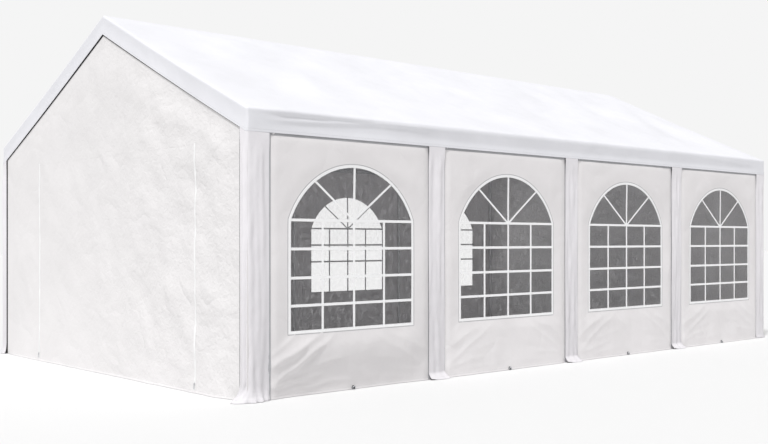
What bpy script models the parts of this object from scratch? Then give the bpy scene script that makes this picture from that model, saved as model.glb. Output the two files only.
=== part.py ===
"""A party marquee, 5 m across the gable and 8 m along the ridge, closed on all sides.

X runs across the gable, Y along the ridge, and Z is up. The origin is on the floor under
the middle of the tent. The front gable is at -Y. All lengths are in metres.
"""
import bpy
import bmesh
from math import asin, cos, pi, sin, sqrt
from mathutils import Vector

# Whole tent
WIDTH = 5.0
LENGTH = 8.0
EAVE_Z = 2.30
RIDGE_Z = 3.44
VALANCE_DEPTH = 0.17
RAKE_VALANCE_DEPTH = 0.184

# Fabric, and the gap kept between pieces that touch
FABRIC = 0.003
FILM = 0.001
GAP = 0.0003
HEM_Z = 0.002

# Legs and the fabric sleeves over them
LEG_SPACING = 1.95
SLEEVE_WIDTH = 0.20
CORNER_SIDE_WIDTH = 0.21
CORNER_GABLE_WIDTH = 0.108
SLEEVE_TOP_Z = 2.25

# Side panels and their arched windows
PANEL_TOP_Z = 2.26
PANEL_JOINT = 0.001
WINDOW_HALF = 0.645
WINDOW_SILL_Z = 0.535
WINDOW_SPRING_Z = 1.445
WINDOW_CROWN_Z = 1.897
WINDOW_CENTRES = (-2.92, -0.975, 0.975, 2.92)
ARCH_STEPS = 14
FILM_LAP = 0.018

# Zipped doorway in the front gable; the back gable is the front one turned round
DOOR_LEFT_X = -1.475
DOOR_RIGHT_X = 1.74
DOOR_TOP_Z = 2.08

# Steel frame
TUBE_R = 0.019
SOCKET_R = 0.0215
SOCKET_LENGTH = 0.10
FOOT_SIZE = 0.09
FOOT_THICKNESS = 0.005
ROUND_STEPS = 16

# Worked out from the sizes above
SLOPE = (RIDGE_Z - EAVE_Z) / (WIDTH / 2)
COS_PITCH = 1 / sqrt(1 + SLOPE ** 2)
FABRIC_DROP = FABRIC / COS_PITCH
VALANCE_Z = EAVE_Z - VALANCE_DEPTH
COVER_X = WIDTH / 2 - FABRIC
COVER_Y = LENGTH / 2 - FABRIC
SLEEVE_X = COVER_X - GAP
SLEEVE_Y = COVER_Y - GAP
PANEL_X = SLEEVE_X - FABRIC - GAP
PANEL_Y = SLEEVE_Y - FABRIC - GAP
FRAME_X = PANEL_X - FABRIC - GAP
FRAME_Y = PANEL_Y - FABRIC - GAP
TUBE_X = FRAME_X - SOCKET_R
END_LEG_Y = FRAME_Y - SOCKET_R
LEG_LINES = (-END_LEG_Y, -LEG_SPACING, 0.0, LEG_SPACING, END_LEG_Y)
TUBE_DROP = (FABRIC + GAP + SOCKET_R) / COS_PITCH
RIDGE_TUBE_Z = RIDGE_Z - TUBE_DROP
EAVE_TUBE_Z = RIDGE_TUBE_Z - SLOPE * TUBE_X


for thing in list(bpy.data.objects):
    bpy.data.objects.remove(thing)

tent = bpy.data.collections.new("marquee_tent")
cutters = bpy.data.collections.new("cutters")
bpy.context.scene.collection.children.link(tent)
bpy.context.scene.collection.children.link(cutters)


def material(name, colour, roughness, metallic=0.0, alpha=1.0):
    """A plain Principled material for one kind of piece."""
    made = bpy.data.materials.new(name)
    made.use_nodes = True
    shader = made.node_tree.nodes["Principled BSDF"]
    shader.inputs["Base Color"].default_value = (*colour, 1.0)
    shader.inputs["Roughness"].default_value = roughness
    shader.inputs["Metallic"].default_value = metallic
    shader.inputs["Alpha"].default_value = alpha
    made.diffuse_color = (*colour, alpha)
    return made


ROOF_FABRIC = material("roof_fabric", (0.90, 0.90, 0.91), 0.45)
SLEEVE_FABRIC = material("sleeve_fabric", (0.80, 0.79, 0.82), 0.5)
PANEL_FABRIC = material("panel_fabric", (0.80, 0.79, 0.80), 0.5)
GABLE_FABRIC = material("gable_fabric", (0.86, 0.85, 0.85), 0.5)
CLEAR_FILM = material("clear_film", (0.75, 0.77, 0.80), 0.08, 0.0, 0.25)
FRAME_STEEL = material("frame_steel", (0.62, 0.63, 0.64), 0.35, 0.9)


def finish(piece, surface, collection=tent):
    """Puts a piece in its collection with its material."""
    if collection is cutters:
        piece.hide_render = True
        piece.display_type = "WIRE"
    if surface:
        piece.data.materials.clear()
        piece.data.materials.append(surface)
    collection.objects.link(piece)
    return piece


# Local Z of a flat outline is its thickness, and each turn sends it along one world axis
TURNS = {"X": (pi / 2, 0, pi / 2), "Y": (pi / 2, 0, 0), "Z": (0, 0, 0)}


def flat_piece(name, outlines, thickness_axis, centre, thickness, surface, collection=tent):
    """A flat sheet or a prism from one outline and the outlines of its holes.

    Outlines hold (y, z) points for thickness along X, (x, z) for Y, and (x, y) for Z.
    """
    curve = bpy.data.curves.new(name + "_outline", "CURVE")
    curve.dimensions = "2D"
    curve.fill_mode = "BOTH"
    curve.extrude = thickness / 2
    for outline in outlines:
        spline = curve.splines.new("POLY")
        spline.points.add(len(outline) - 1)
        for point, (across, up) in zip(spline.points, outline):
            point.co = (across, up, 0.0, 1.0)
        spline.use_cyclic_u = True
    drawn = bpy.data.objects.new(name + "_outline", curve)
    drawn.rotation_euler = TURNS[thickness_axis]
    drawn.location["XYZ".index(thickness_axis)] = centre
    bpy.context.scene.collection.objects.link(drawn)
    bpy.context.view_layer.update()

    depsgraph = bpy.context.evaluated_depsgraph_get()
    mesh = bpy.data.meshes.new_from_object(drawn.evaluated_get(depsgraph))
    mesh.name = name
    welded = bmesh.new()
    welded.from_mesh(mesh)
    bmesh.ops.remove_doubles(welded, verts=welded.verts, dist=0.0001)
    bmesh.ops.recalc_face_normals(welded, faces=welded.faces)
    welded.to_mesh(mesh)
    welded.free()
    piece = bpy.data.objects.new(name, mesh)
    piece.matrix_world = drawn.matrix_world
    bpy.data.objects.remove(drawn)
    return finish(piece, surface, collection)


def rectangle(low_across, low_up, high_across, high_up):
    """The outline of an upright rectangle."""
    return [(low_across, low_up), (high_across, low_up), (high_across, high_up), (low_across, high_up)]


def boolean(piece, tool, operation):
    """Cuts or joins a piece with a hidden tool object."""
    step = piece.modifiers.new(tool.name, "BOOLEAN")
    step.operation = operation
    step.solver = "EXACT"
    step.object = tool


def turned(name, profile, start, direction, surface):
    """A round piece: (radius, distance along) points, turned about the line from start."""
    mesh = bpy.data.meshes.new(name)
    line = bmesh.new()
    corners = [line.verts.new((radius, 0.0, along)) for radius, along in reversed(profile)]
    for upper, lower in zip(corners, corners[1:]):
        line.edges.new((upper, lower))
    line.to_mesh(mesh)
    line.free()
    piece = bpy.data.objects.new(name, mesh)
    spin = piece.modifiers.new("turn", "SCREW")
    spin.steps = ROUND_STEPS
    spin.render_steps = ROUND_STEPS
    spin.use_merge_vertices = True
    spin.merge_threshold = 0.0001
    piece.rotation_mode = "QUATERNION"
    piece.rotation_quaternion = Vector(direction).to_track_quat("Z", "Y")
    piece.location = start
    return finish(piece, surface)


def tube_profile(length, sockets):
    """A plain tube, or one with a connector socket pushed over each named end."""
    profile = [(0.0, 0.0)]
    if "start" in sockets:
        profile += [(SOCKET_R, 0.0), (SOCKET_R, SOCKET_LENGTH), (TUBE_R, SOCKET_LENGTH)]
    else:
        profile += [(TUBE_R, 0.0)]
    if "end" in sockets:
        profile += [(TUBE_R, length - SOCKET_LENGTH), (SOCKET_R, length - SOCKET_LENGTH), (SOCKET_R, length)]
    else:
        profile += [(TUBE_R, length)]
    return profile + [(0.0, length)]


# Roof cover: both slopes, the valances along the eaves and the valances up the rakes
def gable_outline(half_width, apex_z, foot_z):
    """The five corners of a gable end whose rakes follow the roof."""
    shoulder_z = apex_z - SLOPE * half_width
    return [
        (-half_width, foot_z),
        (half_width, foot_z),
        (half_width, shoulder_z),
        (0.0, apex_z),
        (-half_width, shoulder_z),
    ]


def make_roof_cover():
    """One closed fabric shell, open below and open inside its rake valances."""
    cover = flat_piece("roof_cover", [gable_outline(WIDTH / 2, RIDGE_Z, VALANCE_Z)], "Y", 0.0,
                       LENGTH, ROOF_FABRIC)
    below_z = VALANCE_Z - 0.2
    inside = flat_piece("roof_inside", [gable_outline(COVER_X, RIDGE_Z - FABRIC_DROP, below_z)], "Y", 0.0,
                        2 * COVER_Y, None, cutters)
    opening = [
        (-COVER_X, below_z),
        (COVER_X, below_z),
        (COVER_X, VALANCE_Z),
        (0.0, RIDGE_Z - RAKE_VALANCE_DEPTH),
        (-COVER_X, VALANCE_Z),
    ]
    gable_opening = flat_piece("roof_gable_opening", [opening], "Y", 0.0, LENGTH + 0.2, None, cutters)
    boolean(cover, inside, "DIFFERENCE")
    boolean(cover, gable_opening, "DIFFERENCE")


# Leg sleeves: flat strips between the bays, and angles that wrap the corners
def make_leg_sleeves(side, sign):
    """Five sleeves down one long side."""
    height = SLEEVE_TOP_Z - HEM_Z
    middle_z = (SLEEVE_TOP_Z + HEM_Z) / 2
    for number, y in enumerate(LEG_LINES, start=1):
        name = f"leg_sleeve_{side}_{number}"
        if number in (1, len(LEG_LINES)):
            end = -1 if number == 1 else 1
            angle = [
                (SLEEVE_X, SLEEVE_Y),
                (SLEEVE_X, LENGTH / 2 - CORNER_SIDE_WIDTH),
                (SLEEVE_X - FABRIC, LENGTH / 2 - CORNER_SIDE_WIDTH),
                (SLEEVE_X - FABRIC, SLEEVE_Y - FABRIC),
                (WIDTH / 2 - CORNER_GABLE_WIDTH, SLEEVE_Y - FABRIC),
                (WIDTH / 2 - CORNER_GABLE_WIDTH, SLEEVE_Y),
            ]
            outline = [(sign * x, end * across) for x, across in angle]
            flat_piece(name, [outline], "Z", middle_z, height, SLEEVE_FABRIC)
        else:
            strip = rectangle(y - SLEEVE_WIDTH / 2, HEM_Z, y + SLEEVE_WIDTH / 2, SLEEVE_TOP_Z)
            flat_piece(name, [strip], "X", sign * (SLEEVE_X - FABRIC / 2), FABRIC, SLEEVE_FABRIC)


# Side panels, and the clear film behind each arched window
def window_outline(centre_y, margin):
    """Sill, jambs and a segmental arch, grown by a margin all round."""
    rise = WINDOW_CROWN_Z - WINDOW_SPRING_Z
    radius = (WINDOW_HALF ** 2 + rise ** 2) / (2 * rise) + margin
    arch_z = WINDOW_CROWN_Z + margin - radius
    half = WINDOW_HALF + margin
    reach = asin(half / radius)
    outline = [(centre_y - half, WINDOW_SILL_Z - margin), (centre_y + half, WINDOW_SILL_Z - margin)]
    for step in range(ARCH_STEPS + 1):
        turn = reach - 2 * reach * step / ARCH_STEPS
        outline.append((centre_y + radius * sin(turn), arch_z + radius * cos(turn)))
    return outline


def make_side_panels(side, sign):
    """Four panels down one long side, each with its window film."""
    joints = (-PANEL_Y, *LEG_LINES[1:-1], PANEL_Y)
    for number, centre_y in enumerate(WINDOW_CENTRES, start=1):
        low_y = joints[number - 1] + (PANEL_JOINT / 2 if number > 1 else 0.0)
        high_y = joints[number] - (PANEL_JOINT / 2 if number < len(WINDOW_CENTRES) else 0.0)
        sheet = rectangle(low_y, HEM_Z, high_y, PANEL_TOP_Z)
        flat_piece(f"side_panel_{side}_{number}", [sheet, window_outline(centre_y, 0.0)], "X",
                   sign * (PANEL_X - FABRIC / 2), FABRIC, PANEL_FABRIC)
        flat_piece(f"window_film_{side}_{number}", [window_outline(centre_y, FILM_LAP)], "X",
                   sign * (FRAME_X - FILM / 2), FILM, CLEAR_FILM)


# Gable walls, each with the flap that zips into its doorway
def make_gable(end, sign):
    """One gable wall and its closed door flap."""
    half_width = FRAME_X
    apex_z = RIDGE_Z - FABRIC_DROP - GAP / COS_PITCH
    low_x, high_x = sorted((-sign * DOOR_LEFT_X, -sign * DOOR_RIGHT_X))
    foot_left, foot_right, *top = gable_outline(half_width, apex_z, HEM_Z)
    doorway = [(low_x, HEM_Z), (low_x, DOOR_TOP_Z), (high_x, DOOR_TOP_Z), (high_x, HEM_Z)]
    wall = [foot_left, *doorway, foot_right, *top]
    flap = rectangle(low_x + GAP, HEM_Z, high_x - GAP, DOOR_TOP_Z - GAP)
    centre = sign * (PANEL_Y - FABRIC / 2)
    flat_piece(f"gable_wall_{end}", [wall], "Y", centre, FABRIC, GABLE_FABRIC)
    flat_piece(f"door_flap_{end}", [flap], "Y", centre, FABRIC, GABLE_FABRIC)


# Steel frame: legs on foot plates, eave rails, rafters and the ridge rail
def make_legs(side, sign):
    """Five legs down one long side, each with a square foot plate set inwards."""
    height = EAVE_TUBE_Z - TUBE_R - GAP
    for number, y in enumerate(LEG_LINES, start=1):
        start_z = FOOT_THICKNESS / 2
        leg = turned(f"leg_{side}_{number}", tube_profile(height - start_z, ("end",)),
                     (sign * TUBE_X, y, start_z), (0, 0, 1), FRAME_STEEL)
        limit_y = FRAME_Y - FOOT_SIZE / 2
        foot_y = max(-limit_y, min(limit_y, y))
        foot_x = sign * (FRAME_X - FOOT_SIZE / 2)
        outline = rectangle(foot_x - FOOT_SIZE / 2, foot_y - FOOT_SIZE / 2,
                            foot_x + FOOT_SIZE / 2, foot_y + FOOT_SIZE / 2)
        plate = flat_piece(f"foot_plate_{side}_{number}", [outline], "Z", FOOT_THICKNESS / 2,
                           FOOT_THICKNESS, None, cutters)
        boolean(leg, plate, "UNION")


def make_rafters(side, sign):
    """Five rafters, each from the eave rail up to the ridge rail."""
    clear = TUBE_R + GAP
    foot = Vector((sign * TUBE_X, 0.0, EAVE_TUBE_Z))
    run = Vector((0.0, 0.0, RIDGE_TUBE_Z)) - foot
    along = run.normalized()
    for number, y in enumerate(LEG_LINES, start=1):
        start = foot + along * clear
        start.y = y
        turned(f"rafter_{side}_{number}", tube_profile(run.length - 2 * clear, ("start", "end")),
               start, along, FRAME_STEEL)


def make_rail(name, x, z):
    """A rail that runs the whole length of the tent."""
    turned(name, tube_profile(2 * FRAME_Y, ()), (x, -FRAME_Y, z), (0, 1, 0), FRAME_STEEL)


make_roof_cover()
for side_name, side_sign in (("right", 1), ("left", -1)):
    make_leg_sleeves(side_name, side_sign)
    make_side_panels(side_name, side_sign)
    make_legs(side_name, side_sign)
    make_rafters(side_name, side_sign)
    make_rail(f"eave_rail_{side_name}", side_sign * TUBE_X, EAVE_TUBE_Z)
make_rail("ridge_rail", 0.0, RIDGE_TUBE_Z)
for end_name, end_sign in (("front", -1), ("back", 1)):
    make_gable(end_name, end_sign)
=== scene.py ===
from math import atan, ceil, copysign, cos, exp, hypot, pi, radians, sin, tan

import bmesh
import bpy
from mathutils import Euler, Matrix, Vector, noise


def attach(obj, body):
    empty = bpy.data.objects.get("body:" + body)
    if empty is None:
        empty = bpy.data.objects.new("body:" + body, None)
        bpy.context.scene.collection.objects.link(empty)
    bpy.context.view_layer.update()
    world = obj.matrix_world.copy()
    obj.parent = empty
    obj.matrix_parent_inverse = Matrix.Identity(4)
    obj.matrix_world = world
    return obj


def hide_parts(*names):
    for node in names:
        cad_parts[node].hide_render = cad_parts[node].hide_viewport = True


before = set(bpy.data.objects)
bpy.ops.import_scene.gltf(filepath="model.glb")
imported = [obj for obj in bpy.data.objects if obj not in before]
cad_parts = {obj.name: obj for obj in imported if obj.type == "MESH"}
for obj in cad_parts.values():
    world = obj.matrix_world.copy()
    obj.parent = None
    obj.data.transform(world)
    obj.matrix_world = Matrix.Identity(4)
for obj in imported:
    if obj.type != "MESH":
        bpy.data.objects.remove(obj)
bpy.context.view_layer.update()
scene = bpy.context.scene


# Steel frame. Galvanised 38 mm tube in swaged sockets, standing on square foot plates. The tubes
# are the CAD's own; here they get their zinc coat, spangled and a little dull from use.
def zinc_coat(name):
    coat = bpy.data.materials.new(name)
    coat.use_nodes = True
    nodes = coat.node_tree.nodes
    links = coat.node_tree.links
    shader = nodes["Principled BSDF"]
    shader.inputs["Metallic"].default_value = 0.85
    place = nodes.new("ShaderNodeTexCoord")
    spangle = nodes.new("ShaderNodeTexVoronoi")
    spangle.inputs["Scale"].default_value = 140.0
    cloud = nodes.new("ShaderNodeTexNoise")
    cloud.inputs["Scale"].default_value = 6.0
    cloud.inputs["Detail"].default_value = 5.0
    tint = nodes.new("ShaderNodeMix")
    tint.data_type = "RGBA"
    tint.inputs["A"].default_value = (0.50, 0.51, 0.53, 1.0)
    tint.inputs["B"].default_value = (0.66, 0.67, 0.69, 1.0)
    shine = nodes.new("ShaderNodeMapRange")
    shine.inputs["To Min"].default_value = 0.32
    shine.inputs["To Max"].default_value = 0.52
    relief = nodes.new("ShaderNodeBump")
    relief.inputs["Strength"].default_value = 0.25
    relief.inputs["Distance"].default_value = 0.0004
    links.new(place.outputs["Object"], spangle.inputs["Vector"])
    links.new(place.outputs["Object"], cloud.inputs["Vector"])
    links.new(spangle.outputs["Color"], tint.inputs["Factor"])
    links.new(tint.outputs["Result"], shader.inputs["Base Color"])
    links.new(cloud.outputs["Fac"], shine.inputs["Value"])
    links.new(shine.outputs["Result"], shader.inputs["Roughness"])
    links.new(spangle.outputs["Distance"], relief.inputs["Height"])
    links.new(relief.outputs["Normal"], shader.inputs["Normal"])
    return coat


zinc = zinc_coat("zinc_coat")
for name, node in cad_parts.items():
    if name.startswith(("leg_right", "leg_left", "rafter", "eave_rail", "ridge_rail")):
        for fixing in node.material_slots:
            fixing.material = zinc


# Roof cover. One white coated sheet over the ridge rail and rafters. It sags a little between the
# rafters, bends over the eave rails, and hangs as a hemmed valance round all four sides.
half_width = 2.5
half_length = 4.0
ridge_z = 3.44
eave_z = 2.325
valance_z = 2.14
rake_hem_apex_z = 3.256
edge_bend = 0.018
edge_turn = edge_bend * pi / 2
cover_end = half_length - edge_bend + edge_turn
sheet_thickness = 0.0012
leg_lines = (-3.9686, -1.95, 0.0, 1.95, 3.9686)
pitch = atan((ridge_z - eave_z) / half_width)
ridge_bend = 0.03
eave_bend = 0.018
ridge_turn = ridge_bend * pitch
slope_length = half_width / cos(pitch) - ridge_bend * tan(pitch / 2) - eave_bend * tan((pi / 2 - pitch) / 2)
eave_start = ridge_turn + slope_length
eave_end = eave_start + eave_bend * (pi / 2 - pitch)
bend_foot_z = eave_z - eave_bend * tan((pi / 2 - pitch) / 2)
cover_reach = eave_end + bend_foot_z - valance_z


def coated_sheet(name, colour, crumple, crinkle, foot_shade=0.0, foot_shade_top=1.50, crinkle_right=1.0, coarse_right=1.0):
    """Woven tape under a soft plastic coat: fine weave, packing creases, a stitched hem."""
    coat = bpy.data.materials.new(name)
    coat.use_nodes = True
    nodes = coat.node_tree.nodes
    links = coat.node_tree.links
    shader = nodes["Principled BSDF"]
    shader.inputs["Specular IOR Level"].default_value = 0.25
    lie = nodes.new("ShaderNodeUVMap")
    lie.uv_map = "cloth"
    hem = nodes.new("ShaderNodeUVMap")
    hem.uv_map = "hem"

    blotch = nodes.new("ShaderNodeTexNoise")
    blotch.inputs["Scale"].default_value = 1.3
    blotch.inputs["Detail"].default_value = 6.0
    blotch.inputs["Roughness"].default_value = 0.62
    tint = nodes.new("ShaderNodeMix")
    tint.data_type = "RGBA"
    tint.inputs["A"].default_value = (*[part * 0.968 for part in colour], 1.0)
    tint.inputs["B"].default_value = (*[min(1.0, part * 1.028) for part in colour], 1.0)
    spread = nodes.new("ShaderNodeMapRange")
    spread.inputs["From Min"].default_value = 0.32
    spread.inputs["From Max"].default_value = 0.68
    links.new(lie.outputs["UV"], blotch.inputs["Vector"])
    links.new(blotch.outputs["Fac"], spread.inputs["Value"])
    links.new(spread.outputs["Result"], tint.inputs["Factor"])

    apart = nodes.new("ShaderNodeSeparateXYZ")
    links.new(hem.outputs["UV"], apart.inputs["Vector"])
    stitch_row = nodes.new("ShaderNodeMath")
    stitch_row.operation = "COMPARE"
    stitch_row.inputs[1].default_value = 0.021
    stitch_row.inputs[2].default_value = 0.0009
    links.new(apart.outputs["Y"], stitch_row.inputs[0])
    stitch_wave = nodes.new("ShaderNodeMath")
    stitch_wave.operation = "PINGPONG"
    stitch_wave.inputs[1].default_value = 0.0035
    links.new(apart.outputs["X"], stitch_wave.inputs[0])
    stitch_gap = nodes.new("ShaderNodeMath")
    stitch_gap.operation = "GREATER_THAN"
    stitch_gap.inputs[1].default_value = 0.0009
    links.new(stitch_wave.outputs["Value"], stitch_gap.inputs[0])
    stitch = nodes.new("ShaderNodeMath")
    stitch.operation = "MULTIPLY"
    links.new(stitch_row.outputs["Value"], stitch.inputs[0])
    links.new(stitch_gap.outputs["Value"], stitch.inputs[1])
    thread = nodes.new("ShaderNodeMix")
    thread.data_type = "RGBA"
    thread.inputs["B"].default_value = (*[part * 0.72 for part in colour], 1.0)
    links.new(stitch.outputs["Value"], thread.inputs["Factor"])
    # Painted shade: the colour is darkened towards the hem, fully up to 0.40 m from it and fading out at the given
    # top height.
    foot_shade_depth = nodes.new("ShaderNodeMapRange")
    foot_shade_depth.inputs["From Min"].default_value = 0.40
    foot_shade_depth.inputs["From Max"].default_value = foot_shade_top
    foot_shade_depth.inputs["To Min"].default_value = foot_shade
    foot_shade_depth.inputs["To Max"].default_value = 0.0
    links.new(apart.outputs["Y"], foot_shade_depth.inputs["Value"])
    foot_shade_mix = nodes.new("ShaderNodeMix")
    foot_shade_mix.data_type = "RGBA"
    foot_shade_mix.inputs["B"].default_value = (*[part * 0.80 for part in colour], 1.0)
    links.new(foot_shade_depth.outputs["Result"], foot_shade_mix.inputs["Factor"])
    links.new(tint.outputs["Result"], foot_shade_mix.inputs["A"])
    links.new(foot_shade_mix.outputs["Result"], thread.inputs["A"])
    links.new(thread.outputs["Result"], shader.inputs["Base Color"])

    shine = nodes.new("ShaderNodeMapRange")
    shine.inputs["To Min"].default_value = 0.46
    shine.inputs["To Max"].default_value = 0.62
    links.new(blotch.outputs["Fac"], shine.inputs["Value"])
    links.new(shine.outputs["Result"], shader.inputs["Roughness"])

    warp = nodes.new("ShaderNodeTexWave")
    warp.bands_direction = "X"
    warp.inputs["Scale"].default_value = 126.0
    weft = nodes.new("ShaderNodeTexWave")
    weft.bands_direction = "Y"
    weft.inputs["Scale"].default_value = 126.0
    links.new(lie.outputs["UV"], warp.inputs["Vector"])
    links.new(lie.outputs["UV"], weft.inputs["Vector"])
    weave = nodes.new("ShaderNodeMath")
    weave.operation = "MULTIPLY"
    links.new(warp.outputs["Fac"], weave.inputs[0])
    links.new(weft.outputs["Fac"], weave.inputs[1])
    weave_relief = nodes.new("ShaderNodeBump")
    weave_relief.inputs["Strength"].default_value = 0.35
    weave_relief.inputs["Distance"].default_value = 0.0002
    links.new(weave.outputs["Value"], weave_relief.inputs["Height"])

    hem_fold = nodes.new("ShaderNodeMath")
    hem_fold.operation = "LESS_THAN"
    hem_fold.inputs[1].default_value = 0.025
    links.new(apart.outputs["Y"], hem_fold.inputs[0])
    hem_relief = nodes.new("ShaderNodeBump")
    hem_relief.inputs["Strength"].default_value = 0.8
    hem_relief.inputs["Distance"].default_value = 0.0008
    links.new(hem_fold.outputs["Value"], hem_relief.inputs["Height"])
    links.new(weave_relief.outputs["Normal"], hem_relief.inputs["Normal"])

    grain = nodes.new("ShaderNodeTexNoise")
    grain.inputs["Scale"].default_value = 22.0
    grain.inputs["Detail"].default_value = 4.0
    grain.inputs["Distortion"].default_value = 0.6
    links.new(lie.outputs["UV"], grain.inputs["Vector"])
    sideways = nodes.new("ShaderNodeSeparateXYZ")
    links.new(lie.outputs["UV"], sideways.inputs["Vector"])
    gain = nodes.new("ShaderNodeMapRange")
    gain.inputs["From Min"].default_value = -1.2
    gain.inputs["From Max"].default_value = 2.2
    gain.inputs["To Min"].default_value = 1.0
    gain.inputs["To Max"].default_value = crinkle_right
    links.new(sideways.outputs["X"], gain.inputs["Value"])
    grain_height = nodes.new("ShaderNodeMath")
    grain_height.operation = "MULTIPLY"
    links.new(grain.outputs["Fac"], grain_height.inputs[0])
    links.new(gain.outputs["Result"], grain_height.inputs[1])
    grain_relief = nodes.new("ShaderNodeBump")
    grain_relief.inputs["Strength"].default_value = crinkle
    grain_relief.inputs["Distance"].default_value = 0.006
    links.new(grain_height.outputs["Value"], grain_relief.inputs["Height"])
    links.new(hem_relief.outputs["Normal"], grain_relief.inputs["Normal"])

    bend = nodes.new("ShaderNodeTexNoise")
    bend.inputs["Scale"].default_value = 2.2
    bend.inputs["Detail"].default_value = 3.0
    bent = nodes.new("ShaderNodeVectorMath")
    bent.operation = "MULTIPLY_ADD"
    bent.inputs[1].default_value = (0.35, 0.35, 0.0)
    links.new(lie.outputs["UV"], bend.inputs["Vector"])
    links.new(bend.outputs["Color"], bent.inputs[0])
    links.new(lie.outputs["UV"], bent.inputs[2])
    crease = nodes.new("ShaderNodeTexNoise")
    crease.inputs["Scale"].default_value = 2.6
    crease.inputs["Detail"].default_value = 1.0
    links.new(bent.outputs["Vector"], crease.inputs["Vector"])
    ridge = nodes.new("ShaderNodeMath")
    ridge.operation = "SUBTRACT"
    ridge.inputs[1].default_value = 0.5
    fold = nodes.new("ShaderNodeMath")
    fold.operation = "ABSOLUTE"
    links.new(crease.outputs["Fac"], ridge.inputs[0])
    links.new(ridge.outputs["Value"], fold.inputs[0])
    crease_relief = nodes.new("ShaderNodeBump")
    crease_relief.inputs["Strength"].default_value = crumple
    crease_relief.inputs["Distance"].default_value = 0.06
    coarse_gain = nodes.new("ShaderNodeMapRange")
    coarse_gain.inputs["From Min"].default_value = -0.6
    coarse_gain.inputs["From Max"].default_value = 1.6
    coarse_gain.inputs["To Min"].default_value = 1.0
    coarse_gain.inputs["To Max"].default_value = coarse_right
    coarse_height = nodes.new("ShaderNodeMath")
    coarse_height.operation = "MULTIPLY"
    links.new(sideways.outputs["X"], coarse_gain.inputs["Value"])
    links.new(fold.outputs["Value"], coarse_height.inputs[0])
    links.new(coarse_gain.outputs["Result"], coarse_height.inputs[1])
    links.new(coarse_height.outputs["Value"], crease_relief.inputs["Height"])
    links.new(grain_relief.outputs["Normal"], crease_relief.inputs["Normal"])
    links.new(crease_relief.outputs["Normal"], shader.inputs["Normal"])
    return coat


def grid_lines(stops, step):
    """Distances from the first stop to the last, no further apart than step, with every stop kept."""
    lines = [stops[0]]
    for low, high in zip(stops, stops[1:]):
        count = max(1, ceil((high - low) / step - 0.001))
        lines += [low + (high - low) * part / count for part in range(1, count + 1)]
    return lines


def flat_cloth(across, along):
    """A flat cut of cloth, in metres, with its threads along the given lines."""
    cloth = bmesh.new()
    bmesh.ops.create_grid(cloth, x_segments=len(across) - 1, y_segments=len(along) - 1, size=1.0)
    for point in cloth.verts:
        column = round((point.co.x + 1) / 2 * (len(across) - 1))
        row = round((point.co.y + 1) / 2 * (len(along) - 1))
        point.co = (across[column], along[row], 0.0)
    return cloth


def mark_cloth(cloth, hem_place):
    """Keeps the flat place of each point as the cloth map, and its place along the nearest hem."""
    threads = cloth.loops.layers.uv.new("cloth")
    hem = cloth.loops.layers.uv.new("hem")
    for face in cloth.faces:
        for loop in face.loops:
            across, along = loop.vert.co.x, loop.vert.co.y
            loop[threads].uv = (across, along)
            loop[hem].uv = hem_place(across, along)


def sew(name, cloth, surface, thickness=sheet_thickness):
    """Gives hung cloth its thickness, inwards, and makes it a piece of the tent."""
    cloth.normal_update()
    bmesh.ops.solidify(cloth, geom=cloth.faces[:], thickness=thickness)
    mesh = bpy.data.meshes.new(name)
    cloth.to_mesh(mesh)
    cloth.free()
    mesh.materials.append(surface)
    mesh.shade_smooth()
    mesh.set_sharp_from_angle(angle=radians(50))
    piece = bpy.data.objects.new(name, mesh)
    scene.collection.objects.link(piece)
    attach(piece, "root")
    return piece


def rough(across, along, seed, size=1.0):
    """Smooth repeatable unevenness between about -1 and 1."""
    return noise.noise(Vector((across / size, along / size, seed)))


def roof_section(reach):
    """The cover's line from the ridge: reach along it, to its place and its outward lean."""
    if reach < ridge_turn:
        lean = reach / ridge_bend
        top = ridge_z - ridge_bend * (1 / cos(pitch) - 1)
        return ridge_bend * sin(lean), top - ridge_bend * (1 - cos(lean)), lean
    if reach < eave_start:
        drop = ridge_bend * tan(pitch / 2) + reach - ridge_turn
        return drop * cos(pitch), ridge_z - drop * sin(pitch), pitch
    if reach < eave_end:
        lean = pitch + (reach - eave_start) / eave_bend
        return half_width - eave_bend * (1 - sin(lean)), bend_foot_z + eave_bend * cos(lean), lean
    return half_width, bend_foot_z - (reach - eave_end), pi / 2


def bay_part(along):
    """0 on a rafter and 1 midway between two."""
    for low, high in zip(leg_lines, leg_lines[1:]):
        if low <= along <= high:
            return sin(pi * (along - low) / (high - low))
    return 0.0


def smooth_step(low, high, value):
    part = min(1.0, max(0.0, (value - low) / (high - low)))
    return part * part * (3 - 2 * part)


def eave_slack(side, along):
    """How far the fold over the eave rail stands loose; it is drawn tight at the corners."""
    tight = 1 - smooth_step(3.60, 3.93, abs(along))
    return tight * (0.011 + 0.006 * rough(along, 0.0, 4.0 + side, 0.7) + 0.004 * rough(along, 0.0, 9.0, 0.25))


def front_fold(along):
    """1 along the front bay, where the eave valance hangs in a sharp fold, and 0 from the second bay on."""
    return smooth_step(-1.6, -2.6, along)


def valance_swing(side, along, part):
    """How far the hanging eave valance stands out, part of the way down to its thick hem."""
    free = 1 - smooth_step(3.50, 3.90, abs(along))
    swing = 0.0018 * part + (0.0008 + 0.0058 * free) * smooth_step(0.62, 1.0, part) ** 0.8
    swing += 0.0022 * free * part * rough(along, part * 0.3, 11.0 + side, 0.45)
    droop = 0.40 - 0.33 * smooth_step(3.8, 2.1, abs(along))
    strength = free * (front_fold(along) + 0.25)
    swing += 0.0060 * strength * exp(-((part - droop) / 0.095) ** 2)
    return swing


def rake_swing(end, across, part):
    """How far a gable valance stands out: it hollows below the roof edge and comes out to its hem."""
    wave = 0.0016 * rough(across, part * 0.2, 31.0 + end, 0.35) * (1 - smooth_step(1.9, 2.40, abs(across)))
    return 0.0020 * part ** 2 + wave * part - 0.0032 * sin(pi * min(1.0, part / 0.9))


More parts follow.
